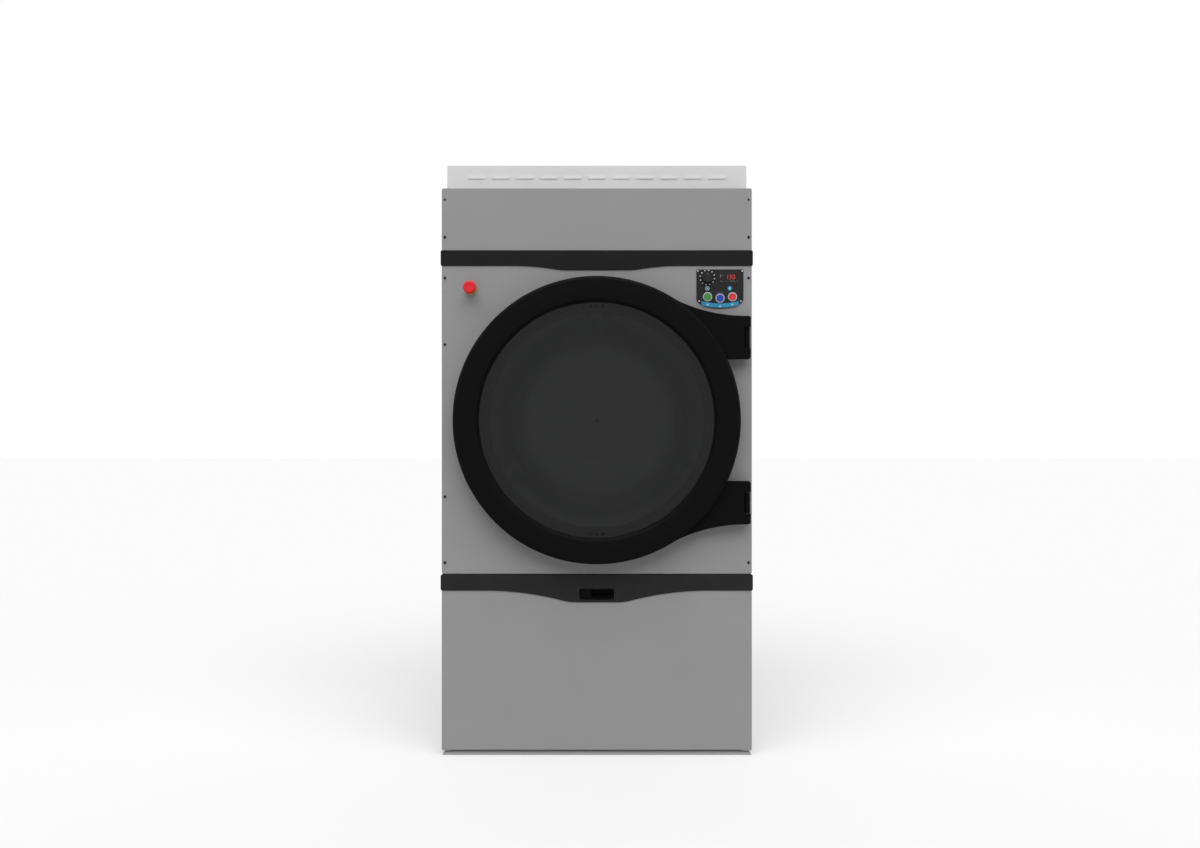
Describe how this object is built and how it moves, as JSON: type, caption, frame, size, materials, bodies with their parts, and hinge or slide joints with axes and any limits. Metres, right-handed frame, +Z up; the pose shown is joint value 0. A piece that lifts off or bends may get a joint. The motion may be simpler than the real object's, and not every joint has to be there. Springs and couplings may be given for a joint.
{
  "type": "tumble dryer",
  "caption": "Free-standing commercial tumble dryer: tall sheet-steel cabinet, large round glazed door, belt-driven drum, lint drawer below, push buttons and a rear exhaust spigot.",
  "frame": {"origin": "centre of the bounding box in plan, at the level of the feet's pads", "axes": "+Z up, the front with the door faces -Y, +X to the viewer's right"},
  "size_m": [0.966, 1.175, 1.842],
  "materials": {
    "panel_grey": "fine textured powder coat, mid grey",
    "cabinet_grey": "smooth light grey powder coat",
    "airbox_grey": "smooth pale grey powder coat",
    "trim_black": "satin moulded plastic, near black",
    "ring_black": "moulded plastic, black, slight gloss",
    "frame_black": "semi-gloss black powder coat",
    "tinted_glass": "toughened dark tinted glass, glossy",
    "seal_rubber": "moulded black rubber",
    "felt": "wool felt",
    "galvanised": "galvanised sheet steel",
    "stainless": "brushed stainless steel",
    "zinc_steel": "bright zinc plated steel",
    "machined_steel": "turned steel",
    "cast_grey": "cast iron, grey",
    "motor_blue_grey": "enamel on a finned motor",
    "belt_rubber": "ribbed belt rubber",
    "screw_black": "black oxide screws",
    "board_green": "circuit board lacquer",
    "enclosure": "white steel tray with components",
    "estop_yellow": "moulded yellow collar",
    "estop_red": "moulded red mushroom head",
    "button_green": "translucent green cap",
    "button_blue": "translucent blue cap",
    "button_red": "translucent red cap",
    "knob_black": "moulded black knob",
    "heater_steel": "sheathed heating elements"
  },
  "bodies": {
    "cabinet": {"base_pan": "panel_grey", "levelling_feet": "zinc_steel", "side_panel_left": "cabinet_grey", "side_panel_right": "cabinet_grey", "rear_panel": "cabinet_grey", "rear_access_cover": "cabinet_grey", "airbox_cover": "airbox_grey", "heater_bank": "heater_steel", "upper_front_panel": "panel_grey", "upper_trim": "trim_black", "front_panel": "panel_grey", "port_ring": "galvanised", "door_seal": "seal_rubber", "drum_felt_seal": "felt", "drum_casing": "galvanised", "rear_bulkhead": "galvanised", "bearing_housing": "cast_grey", "shaft_bearings": "zinc_steel", "drum_motor": "motor_blue_grey", "jackshaft_bracket": "zinc_steel", "drum_belt": "belt_rubber", "motor_belt": "belt_rubber", "fan_scroll": "galvanised", "fan_motor": "motor_blue_grey", "exhaust_spigot": "galvanised", "cable_gland": "trim_black", "electrics_tray": "enclosure", "control_plate": "trim_black", "control_board": "board_green", "panel_screws": "screw_black", "estop_base": "estop_yellow", "hinge_brackets": "frame_black", "hinge_pins": "zinc_steel", "drawer_rails": "galvanised", "door_catch": "trim_black"},
    "door": {"door_ring": "ring_black", "door_glass": "tinted_glass", "door_inner_frame": "frame_black", "hinge_arm_upper": "frame_black", "hinge_arm_lower": "frame_black"},
    "drum": {"drum_shell": "stainless", "drum_back": "stainless", "drum_lifters": "stainless", "drum_shaft": "machined_steel", "drum_pulley": "cast_grey"},
    "jack_shaft": {"jackshaft": "machined_steel"},
    "motor_rotor": {"motor_pulley": "machined_steel"},
    "fan_rotor": {"fan_impeller": "machined_steel"},
    "lint_drawer": {"drawer_front": "panel_grey", "lower_trim": "trim_black", "pull_cup": "trim_black", "drawer_tray": "galvanised", "lint_screen": "galvanised"},
    "lock_core": {"drawer_lock": "screw_black"},
    "estop_stem": {"estop_plunger": "knob_black"},
    "estop_cap": {"estop_head": "estop_red"},
    "start_cap": {"start_button": "button_green"},
    "mode_cap": {"mode_button": "button_blue"},
    "stop_cap": {"stop_button": "button_red"},
    "knob": {"selector_knob": "knob_black"}
  },
  "joints": [
    {"name": "door_swing", "type": "hinge", "parent": "cabinet", "child": "door", "pos_m": [0.462, -0.5425, 1.037], "axis": [0, 0, 1], "range_deg": [0, 165]},
    {"name": "drum_spin", "type": "hinge", "parent": "cabinet", "child": "drum", "pos_m": [0, 0.2875, 1.037], "axis": [0, 1, 0], "continuous": true},
    {"name": "jackshaft_spin", "type": "hinge", "parent": "cabinet", "child": "jack_shaft", "pos_m": [0.255, 0.3575, 0.43], "axis": [0, 1, 0], "continuous": true},
    {"name": "motor_spin", "type": "hinge", "parent": "cabinet", "child": "motor_rotor", "pos_m": [0.3, 0.3255, 0.165], "axis": [0, 1, 0], "continuous": true},
    {"name": "fan_spin", "type": "hinge", "parent": "cabinet", "child": "fan_rotor", "pos_m": [-0.2, 0.1775, 0.28], "axis": [1, 0, 0], "continuous": true},
    {"name": "drawer_slide", "type": "slide", "parent": "cabinet", "child": "lint_drawer", "axis": [0, -1, 0], "range_m": [0, 0.44]},
    {"name": "drawer_lock_turn", "type": "hinge", "parent": "lint_drawer", "child": "lock_core", "pos_m": [-0.039, -0.5125, 0.4983], "axis": [0, 1, 0], "range_deg": [0, 90]},
    {"name": "estop_press", "type": "slide", "parent": "cabinet", "child": "estop_stem", "axis": [0, 1, 0], "range_m": [0, 0.005], "stiffness_N_per_m": 1200, "springref_m": -0.004},
    {"name": "estop_twist", "type": "hinge", "parent": "estop_stem", "child": "estop_cap", "pos_m": [-0.389, -0.5525, 1.4435], "axis": [0, 1, 0], "range_deg": [0, 45], "stiffness_Nm_per_rad": 0.2, "springref_deg": -11.46},
    {"name": "start_press", "type": "slide", "parent": "cabinet", "child": "start_cap", "axis": [0, 1, 0], "range_m": [0, 0.003], "stiffness_N_per_m": 600, "springref_m": -0.003},
    {"name": "mode_press", "type": "slide", "parent": "cabinet", "child": "mode_cap", "axis": [0, 1, 0], "range_m": [0, 0.003], "stiffness_N_per_m": 600, "springref_m": -0.003},
    {"name": "stop_press", "type": "slide", "parent": "cabinet", "child": "stop_cap", "axis": [0, 1, 0], "range_m": [0, 0.003], "stiffness_N_per_m": 600, "springref_m": -0.003},
    {"name": "selector_turn", "type": "hinge", "parent": "cabinet", "child": "knob", "pos_m": [0.342, -0.5125, 1.478], "axis": [0, 1, 0], "continuous": true}
  ],
  "couplings": [
    {"joint": "jackshaft_spin", "follows": "drum_spin", "ratio": 8},
    {"joint": "motor_spin", "follows": "drum_spin", "ratio": 32}
  ]
}
